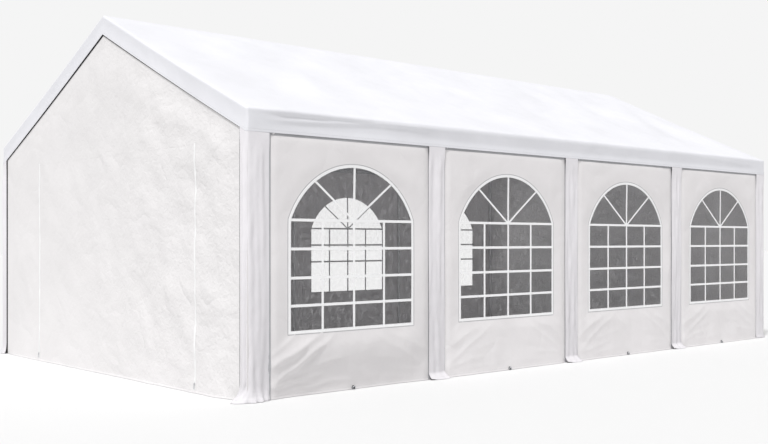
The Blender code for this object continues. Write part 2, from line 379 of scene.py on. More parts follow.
def roof_point(across, along):
    """Where a point of the flat cover lies once it is over the frame."""
    side = copysign(1, across)
    reach = abs(across)
    x, z, lean = roof_section(reach)
    down = min(1.0, max(0.0, (reach - ridge_turn) / slope_length))
    bay = bay_part(along)
    hung = sin(pi * down) ** 0.8
    lift = -0.020 * bay ** 1.2 * hung
    lift -= 0.012 * sin(pi * down)
    near_gable = 1 + 0.7 * smooth_step(0.8, 2.8, abs(along))
    lift += 0.0280 * near_gable * bay * hung * rough(reach * 0.7 + 3 * side + along * 0.5, along, 2.0, 0.62)
    pull = rough(reach * 1.1 + 0.75 * along + 5 * side, along * 0.55 - reach * 0.2, 6.0, 0.42)
    lift += 0.0100 * (1 - abs(pull)) ** 3 * bay ** 0.6 * hung ** 0.5
    lift += 0.0012 * hung * (1 + rough(reach, along, 8.0, 0.2))
    lift += eave_slack(side, along) * smooth_step(0.86, 1.0, down)
    part = 0.0
    if reach > eave_end:
        part = (reach - eave_end) / (cover_reach - eave_end)
        taken_in = smooth_step(0.0, 0.80 - 0.60 * front_fold(along), part)
        lift = eave_slack(side, along) * (1 - taken_in) + valance_swing(side, along, part)
    y = abs(along)
    if y > half_length - edge_bend:
        turned = (y - half_length + edge_bend) / edge_bend
        y = half_length - edge_bend * (1 - sin(turned))
        lift -= edge_bend * (1 - cos(turned))
    x += lift * sin(lean)
    z += lift * cos(lean)
    y *= 1 + rake_swing(copysign(1, along), half_width, part) / half_length
    return Vector((side * x, copysign(y, along), z))


def rake_hem_z(across):
    """Height of a gable valance's hem, which sags a little between the ridge and the corner."""
    rise = (rake_hem_apex_z - valance_z) / (half_width - edge_bend)
    run = max(0.0, half_width - edge_bend - abs(across))
    return valance_z + run * rise - 0.010 * sin(pi * run / (half_width - edge_bend))


def rake_point(end, across, part):
    """Where a point of a gable valance hangs, part of the way from the roof edge to its hem."""
    top = roof_point(across, end * cover_end)
    hem_z = rake_hem_z(top.x)
    side = copysign(1, across)
    near_corner = (abs(top.x) / (half_width - edge_bend)) ** 12
    x = top.x + side * near_corner * (valance_swing(side, end * half_length, part))
    y = end * (half_length + rake_swing(end, top.x, part))
    return Vector((x, y, top.z + (hem_z - top.z) * part))


hem_rows = [0.0, 0.07, 0.14, 0.21, 0.29, 0.37, 0.45, 0.53, 0.61, 0.69, 0.77, 0.88, 1.0]
half_lines = [0.0, ridge_turn / 2] + grid_lines([ridge_turn, eave_start], 0.05)
half_lines += grid_lines([eave_start, eave_end], 0.0075)[1:]
slope_lines = list(half_lines)
half_lines += [eave_end + part * (cover_reach - eave_end) for part in hem_rows[1:]]
cover_lines = [-line for line in reversed(half_lines[1:])] + half_lines
rake_lines = [-line for line in reversed(slope_lines[1:])] + slope_lines


def cover_hem(across, along):
    return along, cover_reach - abs(across)


roof_coat = coated_sheet("roof_coat", (0.728, 0.728, 0.762), 0.16, 0.10)
end_lines = grid_lines([half_length - edge_bend, cover_end], 0.008)
row_lines = [-line for line in reversed(end_lines)][:-1]
row_lines += grid_lines([-half_length + edge_bend, half_length - edge_bend], 0.05) + end_lines[1:]
cover = flat_cloth(cover_lines, row_lines)
mark_cloth(cover, cover_hem)
for point in cover.verts:
    point.co = roof_point(point.co.x, point.co.y)
for end in (-1, 1):
    rake = flat_cloth(rake_lines, [-part for part in reversed(hem_rows)])
    threads = rake.loops.layers.uv.new("cloth")
    hem = rake.loops.layers.uv.new("hem")
    for face in rake.faces:
        for loop in face.loops:
            loop[threads].uv = (loop.vert.co.x, loop.vert.co.y * 0.184)
            loop[hem].uv = (loop.vert.co.x, (1 + loop.vert.co.y) * 0.184)
    for point in rake.verts:
        point.co = rake_point(end, -end * point.co.x, -point.co.y)
    strip = bpy.data.meshes.new("rake_strip")
    rake.to_mesh(strip)
    rake.free()
    cover.from_mesh(strip)
    bpy.data.meshes.remove(strip)
bmesh.ops.remove_doubles(cover, verts=cover.verts, dist=0.0015)
roof_sheet = sew("roof_sheet", cover, roof_coat)
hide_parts("roof_cover")


# Leg sleeves. Strips of the same sheet that lace down the outside of each leg. They come out from
# under the valance, and their rolled hems spread over the foot plates on the ground.
sleeve_top_z = 2.25
sleeve_half = 0.10
sleeve_out = 2.4995
# Painted shade: the sleeves' colour is darker towards the foot, standing in for shade at the ground.
sleeve_coat = coated_sheet("sleeve_coat", (0.760, 0.740, 0.766), 0.16, 0.18, foot_shade=0.55)


def face_out(across, out, up, quarters):
    """From a wall's own directions, as seen from outside, to the tent's: quarters turn it from the front."""
    if quarters == 0:
        return Vector((across, -out, up))
    if quarters == 1:
        return Vector((out, across, up))
    if quarters == 2:
        return Vector((-across, out, up))
    return Vector((-out, -across, up))


def sleeve_hem(across, along):
    return across, along - 0.002


def tuck(up, own, hem_out, behind):
    """Brings a sleeve flush with the valance just below its hem, and close in behind it above."""
    if up > valance_z:
        return behind
    return own + (hem_out + 0.0003 - own) * smooth_step(valance_z - 0.20, valance_z - 0.004, up)


sleeve_rows = grid_lines([0.002, 0.17], 0.008) + grid_lines([0.17, 0.40], 0.025)[1:]
sleeve_rows += grid_lines([0.40, 2.10], 0.040)[1:] + [2.12, valance_z - 0.002, valance_z + 0.002, 2.16, 2.20, sleeve_top_z]


def hang_sleeve(name, centre, quarters, seed):
    """One straight sleeve on a long side."""
    cloth = flat_cloth(grid_lines([-sleeve_half, sleeve_half], 0.0125), sleeve_rows)
    mark_cloth(cloth, sleeve_hem)
    for point in cloth.verts:
        across, up = point.co.x, point.co.y
        edge = across / sleeve_half
        lower = 1 - smooth_step(1.98, 2.12, up)
        out = sleeve_out + 0.002 + 0.004 * cos(edge * pi / 2) * lower
        fold = rough(across * 5 + seed, up * 0.45, seed, 0.22)
        out += 0.0150 * fold * lower * (1 - edge ** 4)
        out += 0.0050 * rough(across * 3, up * 1.3, seed + 3.0, 0.13) * lower * (1 - edge ** 4)
        out += 0.0030 * sin(pi * min(1.0, (up - 0.002) / 0.026)) + 0.0012 * fold * max(0.0, 1 - up / 0.03)
        low = max(0.0, (0.062 - up) / 0.060)
        spread = low ** 1.25
        tilt = 0.80 + 0.20 * edge
        out += 0.070 * spread * tilt + 0.004 * spread * sin(across * 60 + seed)
        lift = 0.010 * spread * smooth_step(-0.2, -1.0, edge)
        sway = 0.006 * rough(0.0, up, seed + 7.0, 0.8) * smooth_step(0.0, 0.5, up) * lower
        side = 1 if quarters == 1 else -1
        out = tuck(up, out, half_width + valance_swing(side, side * (centre + across), 1.0), half_width - 0.0040)
        point.co = face_out(centre + across * (1 + 0.06 * spread) + sway, out, up + lift, quarters)
    return sew(name, cloth, sleeve_coat)


for side, quarters in (("right", 1), ("left", 3)):
    for number in (2, 3, 4):
        line = leg_lines[number - 1]
        centre = line if side == "right" else -line
        sleeve = hang_sleeve(f"sleeve_{side}_{number}", centre, quarters, number * 1.7 + quarters * 5.3)
        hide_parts(f"leg_sleeve_{side}_{number}")


# Corner sleeves. One wider strip wraps each corner leg, folded down its middle, with the gable part
# narrower than the part on the long side. Their feet spread into pleats on the ground.
corner_side_width = 0.21
corner_gable_width = 0.102
corner_bend = edge_bend
corner_side_flat = corner_side_width - corner_bend
corner_gable_flat = corner_gable_width - corner_bend
corner_arc = corner_bend * pi / 2
corner_reach = corner_gable_flat + corner_arc + corner_side_flat


def corner_section(reach, bend):
    """The sleeve's line from its gable edge round the corner: place and outward direction."""
    x_centre = half_width - bend
    y_centre = half_length - bend
    arc = bend * pi / 2
    gable_flat = corner_gable_width - bend
    if reach < gable_flat:
        return Vector((half_width - corner_gable_width + reach, -half_length)), Vector((0.0, -1.0))
    if reach < gable_flat + arc:
        turn = (reach - gable_flat) / bend
        out = Vector((sin(turn), -cos(turn)))
        return Vector((x_centre, -y_centre)) + out * bend, out
    rest = reach - gable_flat - arc
    return Vector((half_width, -y_centre + rest)), Vector((1.0, 0.0))


def corner_hem(across, along):
    return across, along - 0.002


def crease(across, up, start, finish_at, height, width):
    """A soft dragged fold along a line, fading towards both of its ends."""
    line = Vector(finish_at) - Vector(start)
    away = Vector((across, up)) - Vector(start)
    part = away.dot(line) / line.length_squared
    if part < -0.1 or part > 1.1:
        return 0.0
    distance = abs(away.x * line.y - away.y * line.x) / line.length
    fade = sin(pi * min(1.0, max(0.0, (part + 0.1) / 1.2))) ** 0.7
    return height * fade * exp(-(distance / width) ** 1.4)


def hang_corner(name, x_side, y_side, seed, flare):
    """One corner sleeve: made for the right front corner, then mirrored to its own."""
    columns = grid_lines([0.0, corner_gable_flat + corner_arc], 0.0065)
    columns += grid_lines([corner_gable_flat + corner_arc, corner_reach], 0.011)[1:]
    cloth = flat_cloth(columns, sleeve_rows)
    mark_cloth(cloth, corner_hem)
    for point in cloth.verts:
        reach, up = point.co.x, point.co.y
        lower = 1 - smooth_step(1.90, 2.11, up)
        bend = corner_bend + 0.030 * lower
        shorter = (2 - pi / 2) * (bend - corner_bend)
        part = reach / corner_reach
        place, out = corner_section(part * (corner_reach - shorter), bend)
        on_gable = 1 - smooth_step(corner_gable_flat * 0.7, corner_gable_flat + corner_arc, reach)
        rise = 0.0020 * (1 - on_gable) + 0.0004 * on_gable
        rise += 0.0030 * lower * sin(pi * part) ** 2
        rise += lower * 0.0180 * min(1.0, reach / 0.065) * on_gable
        rise -= lower * 0.0040 * exp(-((reach - 0.088) / 0.011) ** 2)
        rise += lower * 0.0025 * exp(-((reach - 0.032 - 0.01 * sin(up * 3)) / 0.012) ** 2)
        rise -= lower * 0.0065 * smooth_step(0.70, 1.0, part)
        rise += 0.0120 * lower * rough(reach * 4.5, up * 0.45, seed, 0.2) * sin(pi * part) ** 0.7
        rise += 0.0048 * lower * rough(reach * 3.2, up * 1.3, seed + 4.0, 0.13) * sin(pi * part)
        hem_z = rake_hem_z(place.x)
        hem_out = valance_swing(x_side, y_side * 3.99, 1.0) * (1 - on_gable) + 0.0020 * on_gable
        rise = tuck(up, rise, hem_out, -0.0040 - 0.0010 * on_gable)
        top_shift = (hem_z - valance_z) * smooth_step(1.7, valance_z - 0.002, up)
        low = max(0.0, (0.145 - up) / 0.143)
        spread = flare * low ** 2.6
        widen = 0.060 * on_gable + 0.030 * sin(pi * part) + 0.012 * part
        pleat = 0.020 * spread ** 0.6 * (1 - abs(sin(reach * 52 + seed - 1.2 * up / 0.145))) ** 1.5 * (1 - 0.4 * part) * flare
        pleat += 0.0045 * sin(pi * min(1.0, (up - 0.002) / 0.028))
        flow = Vector((0.0, -1.0)) * on_gable + Vector((0.5, -0.85)) * (1 - on_gable) * (1 - part) + out * part
        pleat -= 0.014 * flare * crease(reach, up, (0.085, 0.14), (0.050, 0.0), 1.0, 0.010)
        place = place + out * rise + flow.normalized() * (widen * spread) + out * pleat
        place.x -= 0.030 * spread * on_gable * (1 - reach / corner_gable_flat if reach < corner_gable_flat else 0.0)
        point.co = (place.x * x_side, place.y * -y_side, up + top_shift)
    if x_side * y_side > 0:
        bmesh.ops.reverse_faces(cloth, faces=cloth.faces)
    return sew(name, cloth, sleeve_coat)


for side, x_side in (("right", 1), ("left", -1)):
    for number, y_side in ((1, -1), (5, 1)):
        flare = 1.0 if (side, number) == ("right", 1) else 0.35
        sleeve = hang_corner(f"sleeve_{side}_{number}", x_side, y_side, 2.0 + number + 1.5 * x_side, flare)
        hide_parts(f"leg_sleeve_{side}_{number}")


# Side panels. One sheet per bay, hooked on under the valance and pegged at the foot, with an arched
# window cut out. Dragged folds run up from the pegged corners; the front right one has painted shade, its colour
# darker towards the foot.
panel_out = 2.4925
panel_top_z = 2.26
panel_edges = (-3.9934, -1.95, 0.0, 1.95, 3.9934)
window_centres = (-2.92, -0.975, 0.975, 2.92)
window_half = 0.662
window_sill_z = 0.535
window_spring_z = 1.445
arch_centre_z = 1.193
arch_radius = 0.708
panel_coat = coated_sheet("panel_coat", (0.752, 0.730, 0.737), 0.26, 0.20)
# Painted shade: the front right panel's colour darkens towards its foot, where it bows in.
foot_shaded_coat = coated_sheet("foot_shaded_coat", (0.752, 0.730, 0.737), 0.26, 0.20, foot_shade=0.40, foot_shade_top=1.20)


def in_window(across, up, margin):
    """True inside the arched opening, grown by the margin."""
    if abs(across) > window_half + margin or up < window_sill_z - margin:
        return False
    if up <= window_spring_z:
        return True
    return hypot(across, up - arch_centre_z) < arch_radius + margin


def window_gap(across, up):
    """How far a point of a panel lies outside the arched opening."""
    flat_gap = max(abs(across) - window_half, window_sill_z - up)
    if up <= window_spring_z:
        return max(0.0, flat_gap)
    return max(0.0, hypot(across, up - arch_centre_z) - arch_radius)


def cut_window(cloth, centre, margin, inside):
    """Cuts along the arched outline, and keeps the cloth inside it or outside it."""
    gone = []
    for face in cloth.faces:
        middle = face.calc_center_median()
        if in_window(middle.x - centre, middle.y, margin) != inside:
            gone.append(face)
    bmesh.ops.delete(cloth, geom=gone, context="FACES")
    for point in cloth.verts:
        across, up = point.co.x - centre, point.co.y
        distance = hypot(across, up - arch_centre_z)
        if up > window_spring_z + 0.001 and point.is_boundary and abs(distance - arch_radius - margin) < 0.035:
            grow = (arch_radius + margin) / distance
            point.co.x = centre + across * grow
            point.co.y = arch_centre_z + (up - arch_centre_z) * grow


top_lean = 0.007
dragged_folds = (((-0.04, 0.235), (0.48, 0.48), 0.0175, 0.036), ((0.03, 0.120), (0.62, 0.46), 0.015, 0.022),
                 ((-0.04, 0.090), (0.50, 0.17), 0.010, 0.020), ((0.0, 0.34), (0.26, 0.52), 0.006, 0.016),
                 ((0.10, 0.055), (0.80, 0.10), 0.006, 0.020), ((0.30, 0.22), (0.75, 0.30), 0.006, 0.026))


def panel_rise(across, up, low, high, seed, drag):
    """How far a side panel stands out of its plane, across and up from its own lower left corner."""
    below_valance = 1 - smooth_step(2.085, 2.195, up)
    inner = smooth_step(-0.005, 0.07, min(across - low, high - across)) * below_valance
    billow = smooth_step(0.0, 0.25, min(across - low, high - across)) * below_valance
    free = inner * smooth_step(0.0, 0.15, window_gap(across - (low + high) / 2, up))
    free *= 1 - 0.6 * smooth_step(1.80, 2.00, up)
    edge_out = smooth_step(-0.005, 0.030, min(across - low, high - across))
    rise = 0.0035 * billow * (1 + rough(across, up, seed, 0.6))
    rise += top_lean * inner * smooth_step(1.50, 2.05, up)
    rise += 0.0070 * free * (1 + rough(across * 1.1, up * 0.9, seed + 1.0, 0.34))
    rise += 0.0018 * free * (1 + rough(across * 1.4, up, seed + 2.0, 0.13))
    rise += 0.0040 * free * (1 - abs(rough(across + up * 0.5, up * 0.6, seed + 3.0, 0.30))) ** 4
    foot = 1 - smooth_step(0.05, 0.5, up)
    rise += 0.006 * inner * foot * (1 + rough(across, up * 0.3, seed + 5.0, 0.22))
    left = across - low
    right = high - across
    warped = up + 0.030 * rough(across, up, seed + 7.0, 0.24)
    for start, end, height, width in dragged_folds:
        rise += edge_out * drag * crease(left, warped, start, end, height, width)
        rise += edge_out * 0.30 * crease(right, warped, start, end, height, width)
    slack = billow ** 0.5 * smooth_step(0.5, 1.0, drag)
    rise += 0.020 * slack * smooth_step(0.0, 0.31, up) * (1 - smooth_step(0.31, 0.535, up))
    rise -= 0.036 * slack * (1 - smooth_step(0.0, 0.50, up))
    return rise + 0.004 * (max(0.0, 0.030 - up) / 0.028) ** 2


def panel_hem(across, along):
    return across, along - 0.002


panel_facts = []
for side, quarters in (("right", 1), ("left", 3)):
    for number, centre in enumerate(window_centres, start=1):
        low, high = panel_edges[number - 1] + 0.0005, panel_edges[number] - 0.0005
        if side == "left":
            low, high, centre = -high, -low, -centre
        seed = number * 3.1 + quarters * 7.7
        drag = 1.0 if (side, number) == ("right", 1) else 0.35
        left_edge = low + (0.10 if low > -3.9 else 0.2034)
        right_edge = high - (0.10 if high < 3.9 else 0.2034)
        cuts = (low, high)
        panel_facts.append((side, number, quarters, centre, cuts, left_edge, right_edge, seed, drag))

for side, number, quarters, centre, cuts, low, high, seed, drag in panel_facts:
    columns = grid_lines([cuts[0], low, centre - window_half, centre, centre + window_half, high, cuts[1]], 0.020)
    rows = grid_lines([0.002, 0.030], 0.008) + grid_lines([0.030, window_sill_z], 0.015)[1:]
    rows += grid_lines([window_sill_z, window_spring_z, panel_top_z], 0.026)[1:]
    cloth = flat_cloth(columns, rows)
    mark_cloth(cloth, panel_hem)
    cut_window(cloth, centre, 0.0, False)
    for point in cloth.verts:
        across, up = point.co.x, point.co.y
        out = panel_out + panel_rise(across, up, low, high, seed, drag)
        point.co = face_out(across, out, up, quarters)
    surface = foot_shaded_coat if drag == 1.0 else panel_coat
    panel = sew(f"panel_{side}_{number}", cloth, surface)
    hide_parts(f"side_panel_{side}_{number}")


# Edge shade lines. A grey strip round each side panel's edge is painted shade: it stands in for the dark
# shadow line where the panel goes in under the sleeves and the valance.
# A ribbed strip coat: used for real webbing (zip tapes, peg loops) and for the dark strips that are painted shade.
def webbing_and_shade_line(name, colour):
    tape = bpy.data.materials.new(name)
    tape.use_nodes = True
    nodes = tape.node_tree.nodes
    links = tape.node_tree.links
    shader = nodes["Principled BSDF"]
    shader.inputs["Roughness"].default_value = 0.75
    lie = nodes.new("ShaderNodeUVMap")
    lie.uv_map = "cloth"
    rib = nodes.new("ShaderNodeTexWave")
    rib.bands_direction = "DIAGONAL"
    rib.inputs["Scale"].default_value = 150.0
    rib.inputs["Distortion"].default_value = 0.6
    dust = nodes.new("ShaderNodeTexNoise")
    dust.inputs["Scale"].default_value = 9.0
    dust.inputs["Detail"].default_value = 4.0
    tint = nodes.new("ShaderNodeMix")
    tint.data_type = "RGBA"
    tint.inputs["A"].default_value = (*colour, 1.0)
    tint.inputs["B"].default_value = (*[part * 1.35 for part in colour], 1.0)
    relief = nodes.new("ShaderNodeBump")
    relief.inputs["Strength"].default_value = 0.5
    relief.inputs["Distance"].default_value = 0.0005
    links.new(lie.outputs["UV"], rib.inputs["Vector"])
    links.new(lie.outputs["UV"], dust.inputs["Vector"])
    links.new(dust.outputs["Fac"], tint.inputs["Factor"])
    links.new(tint.outputs["Result"], shader.inputs["Base Color"])
    links.new(rib.outputs["Fac"], relief.inputs["Height"])
    links.new(relief.outputs["Normal"], shader.inputs["Normal"])
    return tape


panel_edge_shade = webbing_and_shade_line("panel_edge_shade", (0.33, 0.33, 0.345))
for side, number, quarters, centre, cuts, low, high, seed, drag in panel_facts:
    # The painted shadow line shows wider along the first panel of each side.
    shown = 0.015 if number == 1 else 0.009
    columns = [low - 0.02] + grid_lines([low + shown, high - 0.002], 0.05) + [high + 0.02]
    rows = grid_lines([0.004, 0.53], 0.015) + grid_lines([0.53, 2.119], 0.026)[1:] + [2.15]
    cloth = flat_cloth(columns, rows)
    threads = cloth.loops.layers.uv.new("cloth")
    for face in cloth.faces:
        for loop in face.loops:
            loop[threads].uv = (loop.vert.co.x, loop.vert.co.y)
    open_part = [face for face in cloth.faces
                 if columns[1] < face.calc_center_median().x < columns[-2] and face.calc_center_median().y < 2.119]
    bmesh.ops.delete(cloth, geom=open_part, context="FACES")
    for point in cloth.verts:
        across, up = point.co.x, point.co.y
        out = panel_out + panel_rise(across, up, low, high, seed, drag) + 0.0010
        point.co = face_out(across, out, up, quarters)
    sew(f"panel_shade_line_{side}_{number}", cloth, panel_edge_shade, 0.0007)


# Windows. Clear flexible film welded in behind each opening, with the white border welded round it
# and flat white glazing bars on the film: a grid below, and a fan of three in the arch.
def clear_film(name):
    film = bpy.data.materials.new(name)
    film.use_nodes = True
    nodes = film.node_tree.nodes
    links = film.node_tree.links
    shader = nodes["Principled BSDF"]
    shader.inputs["Base Color"].default_value = (0.86, 0.85, 0.87, 1.0)
    shader.inputs["Roughness"].default_value = 0.12
    lie = nodes.new("ShaderNodeUVMap")
    lie.uv_map = "cloth"
    tall = nodes.new("ShaderNodeMapping")
    tall.inputs["Scale"].default_value = (1.0, 0.6, 1.0)
    streak = nodes.new("ShaderNodeTexNoise")
    streak.inputs["Scale"].default_value = 30.0
    streak.inputs["Detail"].default_value = 8.0
    streak.inputs["Roughness"].default_value = 0.7
    streak.inputs["Distortion"].default_value = 0.5
    haze = nodes.new("ShaderNodeMapRange")
    haze.inputs["From Min"].default_value = 0.45
    haze.inputs["From Max"].default_value = 0.72
    haze.inputs["To Min"].default_value = 0.035
    haze.inputs["To Max"].default_value = 0.130
    relief = nodes.new("ShaderNodeBump")
    relief.inputs["Strength"].default_value = 0.5
    relief.inputs["Distance"].default_value = 0.004
    links.new(lie.outputs["UV"], tall.inputs["Vector"])
    links.new(tall.outputs["Vector"], streak.inputs["Vector"])
    links.new(streak.outputs["Fac"], haze.inputs["Value"])
    links.new(haze.outputs["Result"], shader.inputs["Alpha"])
    links.new(streak.outputs["Fac"], relief.inputs["Height"])
    links.new(relief.outputs["Normal"], shader.inputs["Normal"])
    return film


def film_rise(across, up, low, high, seed, drag):
    """The film follows its panel, a little behind it, with soft ripples of its own."""
    calm = 0.0035 * smooth_step(0.0, 0.25, min(across - low, high - across))
    slow = calm * (1 + rough(across, up, seed, 0.6))
    slow += top_lean * smooth_step(1.50, 2.05, up)
    return slow - 0.0016 + 0.0005 * rough(across, up, seed + 9.0, 0.12)


film_clear = clear_film("film_clear")
bar_white = coated_sheet("bar_white", (0.88, 0.88, 0.885), 0.0, 0.02)
# Painted shade: a grey strip just outside each window border stands in for the shadow along its welded edge.
weld_shade_grey = webbing_and_shade_line("weld_shade_grey", (0.36, 0.36, 0.37))
film_lap = 0.016
border_width = 0.021
bar_width = 0.023
spoke_width = 0.018
column_offset = 0.336
row_heights = (0.742, 0.970, 1.208, 1.445)
for side, number, quarters, centre, cuts, low, high, seed, drag in panel_facts:
    cloth = flat_cloth(grid_lines([centre - window_half - film_lap, centre + window_half + film_lap], 0.03),
                       grid_lines([window_sill_z - film_lap, window_spring_z, 1.901 + film_lap], 0.03))
    mark_cloth(cloth, panel_hem)
    cut_window(cloth, centre, film_lap, True)
    for point in cloth.verts:
        across, up = point.co.x, point.co.y
        out = panel_out + film_rise(across, up, low, high, seed, drag)
        point.co = face_out(across, out, up, quarters)
    film = sew(f"film_{side}_{number}", cloth, film_clear, 0.0005)
    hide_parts(f"window_film_{side}_{number}")


def outline_point(part, margin):
    """A point on the arched outline, grown by the margin; part runs 0 to 1 round it from the left foot."""
    reach = window_half + margin
    foot = window_sill_z - margin
    jamb = window_spring_z - foot
    turn = 2 * atan(window_half / (window_spring_z - arch_centre_z))
    arc = turn * arch_radius
    whole = 2 * window_half + 2 * (window_spring_z - window_sill_z) + arc
    walked = part * whole
    jamb_walk = window_spring_z - window_sill_z
    if walked < jamb_walk:
        return Vector((-reach, foot + jamb * walked / jamb_walk))
    walked -= jamb_walk
    if walked < arc:
        angle = -turn / 2 + walked / arch_radius
        radius = arch_radius + margin
        return Vector((radius * sin(angle), arch_centre_z + radius * cos(angle)))
    walked -= arc
    if walked < jamb_walk:
        return Vector((reach, window_spring_z - jamb * walked / jamb_walk))
    walked -= jamb_walk
    return Vector((reach - 2 * reach * walked / (2 * window_half), foot))


def border_stops():
    """Parts of the way round the outline: its corners, and steps between them."""
    turn = 2 * atan(window_half / (window_spring_z - arch_centre_z))
    jamb_walk = window_spring_z - window_sill_z
    whole = 2 * window_half + 2 * jamb_walk + turn * arch_radius
    corners = [0.0, jamb_walk / whole, (jamb_walk + turn * arch_radius) / whole,
               (2 * jamb_walk + turn * arch_radius) / whole, 1.0]
    return grid_lines(corners, 0.008)


def lay_strip(cloth, length_stops, half, place, turned):
    """Adds a flat strip to a piece: its long way along x, moved into place."""
    bar = flat_cloth(length_stops, [-half, 0.0, half])
    threads = bar.loops.layers.uv.new("cloth")
    hem = bar.loops.layers.uv.new("hem")
    for face in bar.faces:
        for loop in face.loops:
            loop[threads].uv = (loop.vert.co.x, loop.vert.co.y)
            loop[hem].uv = (loop.vert.co.x, 1.0)
    bmesh.ops.rotate(bar, verts=bar.verts, cent=(0, 0, 0), matrix=Matrix.Rotation(turned, 3, "Z"))
    bmesh.ops.translate(bar, verts=bar.verts, vec=place)
    strip = bpy.data.meshes.new("bar_strip")
    bar.to_mesh(strip)
    bar.free()
    cloth.from_mesh(strip)
    bpy.data.meshes.remove(strip)


for side, number, quarters, centre, cuts, low, high, seed, drag in panel_facts:
    stops = border_stops()
    cloth = flat_cloth(stops, [-0.003, 0.003, 0.012, border_width])
    threads = cloth.loops.layers.uv.new("cloth")
    hem = cloth.loops.layers.uv.new("hem")
    for face in cloth.faces:
        for loop in face.loops:
            loop[threads].uv = (loop.vert.co.x * 5.6, loop.vert.co.y)
            loop[hem].uv = (loop.vert.co.x * 5.6, border_width - loop.vert.co.y - 0.001)
    for point in cloth.verts:
        spot = outline_point(point.co.x, point.co.y)
        across, up = centre + spot.x, spot.y
        out = panel_out + panel_rise(across, up, low, high, seed, drag) + 0.0010
        point.co = face_out(across, out, up, quarters)
    bmesh.ops.remove_doubles(cloth, verts=cloth.verts, dist=0.0002)
    border = sew(f"window_border_{side}_{number}", cloth, bar_white, 0.0016)

    # Painted shade: the grey strip just outside the border, in the shadow of its welded edge.
    cloth = flat_cloth(stops, [border_width + 0.003, border_width + 0.006, border_width + 0.009])
    threads = cloth.loops.layers.uv.new("cloth")
    for face in cloth.faces:
        for loop in face.loops:
            loop[threads].uv = (loop.vert.co.x * 5.6, loop.vert.co.y)
    for point in cloth.verts:
        spot = outline_point(point.co.x, point.co.y)
        across, up = centre + spot.x, spot.y
        out = panel_out + panel_rise(across, up, low, high, seed, drag) + 0.0004
        point.co = face_out(across, out, up, quarters)
    bmesh.ops.remove_doubles(cloth, verts=cloth.verts, dist=0.0002)
    sew(f"window_weld_shade_{side}_{number}", cloth, weld_shade_grey, 0.0007)

    cloth = bmesh.new()
    fan_centre_z = window_spring_z
    bar_half = bar_width / 2
    lay_strip(cloth, grid_lines([window_sill_z - 0.01, 1.909], 0.06), bar_half, (centre, 0, 0.0008), pi / 2)
    for offset in (-column_offset, column_offset):
        lay_strip(cloth, grid_lines([window_sill_z - 0.01, window_spring_z], 0.06), bar_half,
                  (centre + offset, 0, 0.0008), pi / 2)
    for height in row_heights:
        lay_strip(cloth, grid_lines([-window_half - 0.008, window_half + 0.008], 0.06), bar_half,
                  (centre, height, 0.0012), 0.0)
    for turned in (radians(38.0), radians(142.0)):
        lay_strip(cloth, grid_lines([0.0, 0.528], 0.06), spoke_width / 2, (centre, fan_centre_z, 0.0004), turned)
    for point in cloth.verts:
        across, up = point.co.x, point.co.y
        out = panel_out + film_rise(across, up, low, high, seed, drag) + point.co.z + 0.0002
        point.co = face_out(across, out, up, quarters)
    bars = sew(f"window_bars_{side}_{number}", cloth, bar_white, 0.0006)


# Gable walls. One sheet fills each gable, under the valance, with the doorway cut out of it. Its
# coat keeps the fine crinkle of a sheet that was folded small, stronger to the right.
wall_out = 3.9922
wall_half = 2.4901
wall_apex_z = 3.435
door_left = -1.475
door_right = 1.74
door_top_z = 2.08
gable_coat = coated_sheet("gable_coat", (0.745, 0.729, 0.731), 0.30, 0.36, crinkle_right=4.2, coarse_right=2.0)


def wall_rise(across, up, seed):
    """How far a gable wall stands out of its plane."""
    near_frame = smooth_step(0.15, 0.45, wall_half - abs(across)) * smooth_step(0.02, 0.30, rake_hem_z(across) - up)
    right = smooth_step(-1.0, 1.8, across)
    rise = 0.006 * near_frame * (1 + rough(across, up, seed, 0.8))
    rise += 0.0100 * near_frame * (1 + rough(across * 1.2 + up * 0.5, up, seed + 1.0, 0.32)) * (0.6 + 1.1 * right)
    rise += 0.0030 * near_frame * rough(across * 0.8, up * 1.5, seed + 2.0, 0.13) * (0.3 + 1.6 * right)
    foot = 1 - smooth_step(0.0, 0.35, up)
    rise += 0.003 * near_frame * foot * (1 + rough(across, up * 0.3, seed + 5.0, 0.25))
    return rise + 0.008 * near_frame * (max(0.0, 0.030 - up) / 0.028) ** 2


def gable_hem(across, along):
    return across, along - 0.002


for end, quarters, seed in (("front", 0, 41.0), ("back", 2, 57.0)):
    columns = grid_lines([-wall_half, door_left, door_right, wall_half], 0.035)
    cloth = flat_cloth(columns, grid_lines([0.002, 0.030], 0.008) + grid_lines([0.030, door_top_z, wall_apex_z], 0.035)[1:])
    mark_cloth(cloth, gable_hem)
    for lean in (-1, 1):
        bmesh.ops.bisect_plane(cloth, geom=cloth.faces[:] + cloth.edges[:] + cloth.verts[:], dist=0.0001,
                               plane_co=(0, wall_apex_z, 0), plane_no=(lean * 0.456, 1, 0), clear_outer=True)
    doorway = [face for face in cloth.faces
               if door_left < face.calc_center_median().x < door_right and face.calc_center_median().y < door_top_z]
    bmesh.ops.delete(cloth, geom=doorway, context="FACES")
    for point in cloth.verts:
        out = wall_out + wall_rise(point.co.x, point.co.y, seed)
        point.co = face_out(point.co.x, out, point.co.y, quarters)
    wall = sew(f"gable_{end}", cloth, gable_coat)
    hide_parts(f"gable_wall_{end}")

    cloth = flat_cloth(grid_lines([door_left + 0.0005, door_right - 0.0005], 0.035),
                       grid_lines([0.002, 0.030], 0.008) + grid_lines([0.030, door_top_z - 0.0005], 0.035)[1:])
    mark_cloth(cloth, gable_hem)
    for point in cloth.verts:
        out = wall_out + wall_rise(point.co.x, point.co.y, seed)
        point.co = face_out(point.co.x, out, point.co.y, quarters)
    flap = sew(f"door_{end}", cloth, gable_coat)
    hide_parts(f"door_flap_{end}")
